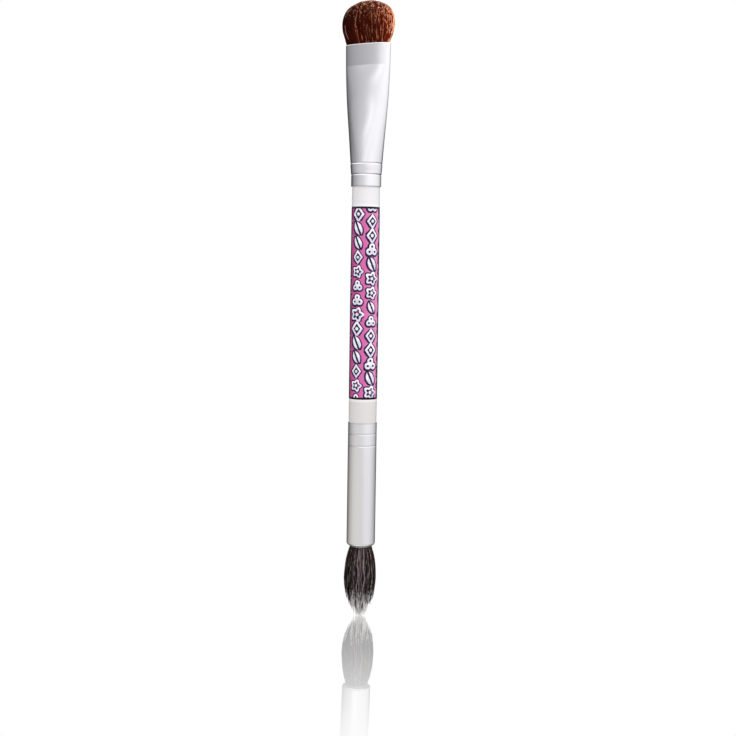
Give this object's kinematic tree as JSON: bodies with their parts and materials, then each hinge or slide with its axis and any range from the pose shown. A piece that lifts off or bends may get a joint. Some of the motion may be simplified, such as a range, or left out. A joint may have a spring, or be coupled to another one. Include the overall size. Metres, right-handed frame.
{
  "type": "double-ended eyeshadow brush",
  "caption": "Slim double-ended eye brush: dense flat-oval shader head at one end, soft pointed crease head at the other, on a white lacquered barrel with a printed film.",
  "frame": {"origin": "the tip of the crease (lower) tuft, at the centre of the brush's footprint", "axes": "+Z along the brush's axis towards the shader head, X along the flat head's width, Y along its thickness"},
  "size_m": [0.0164, 0.0092, 0.178],
  "materials": {
    "lacquer": "gloss white lacquer over wood",
    "film": "gloss printed film",
    "metal": "satin anodised",
    "brown_hair": "natural hair",
    "grey_hair": "natural hair with pale tips",
    "resin": "set resin",
    "thread": "waxed cotton thread"
  },
  "bodies": {
    "root": {"handle_barrel": "lacquer", "print_sleeve": "film", "crease_ferrule": "metal", "shader_ferrule": "metal", "crease_tuft": "grey_hair", "shader_tuft": "brown_hair", "crease_root_glue": "resin", "shader_root_glue": "resin", "crease_binding_thread": "thread", "shader_binding_thread": "thread", "crease_tenon_cement": "resin", "shader_tenon_cement": "resin"}
  },
  "joints": []
}
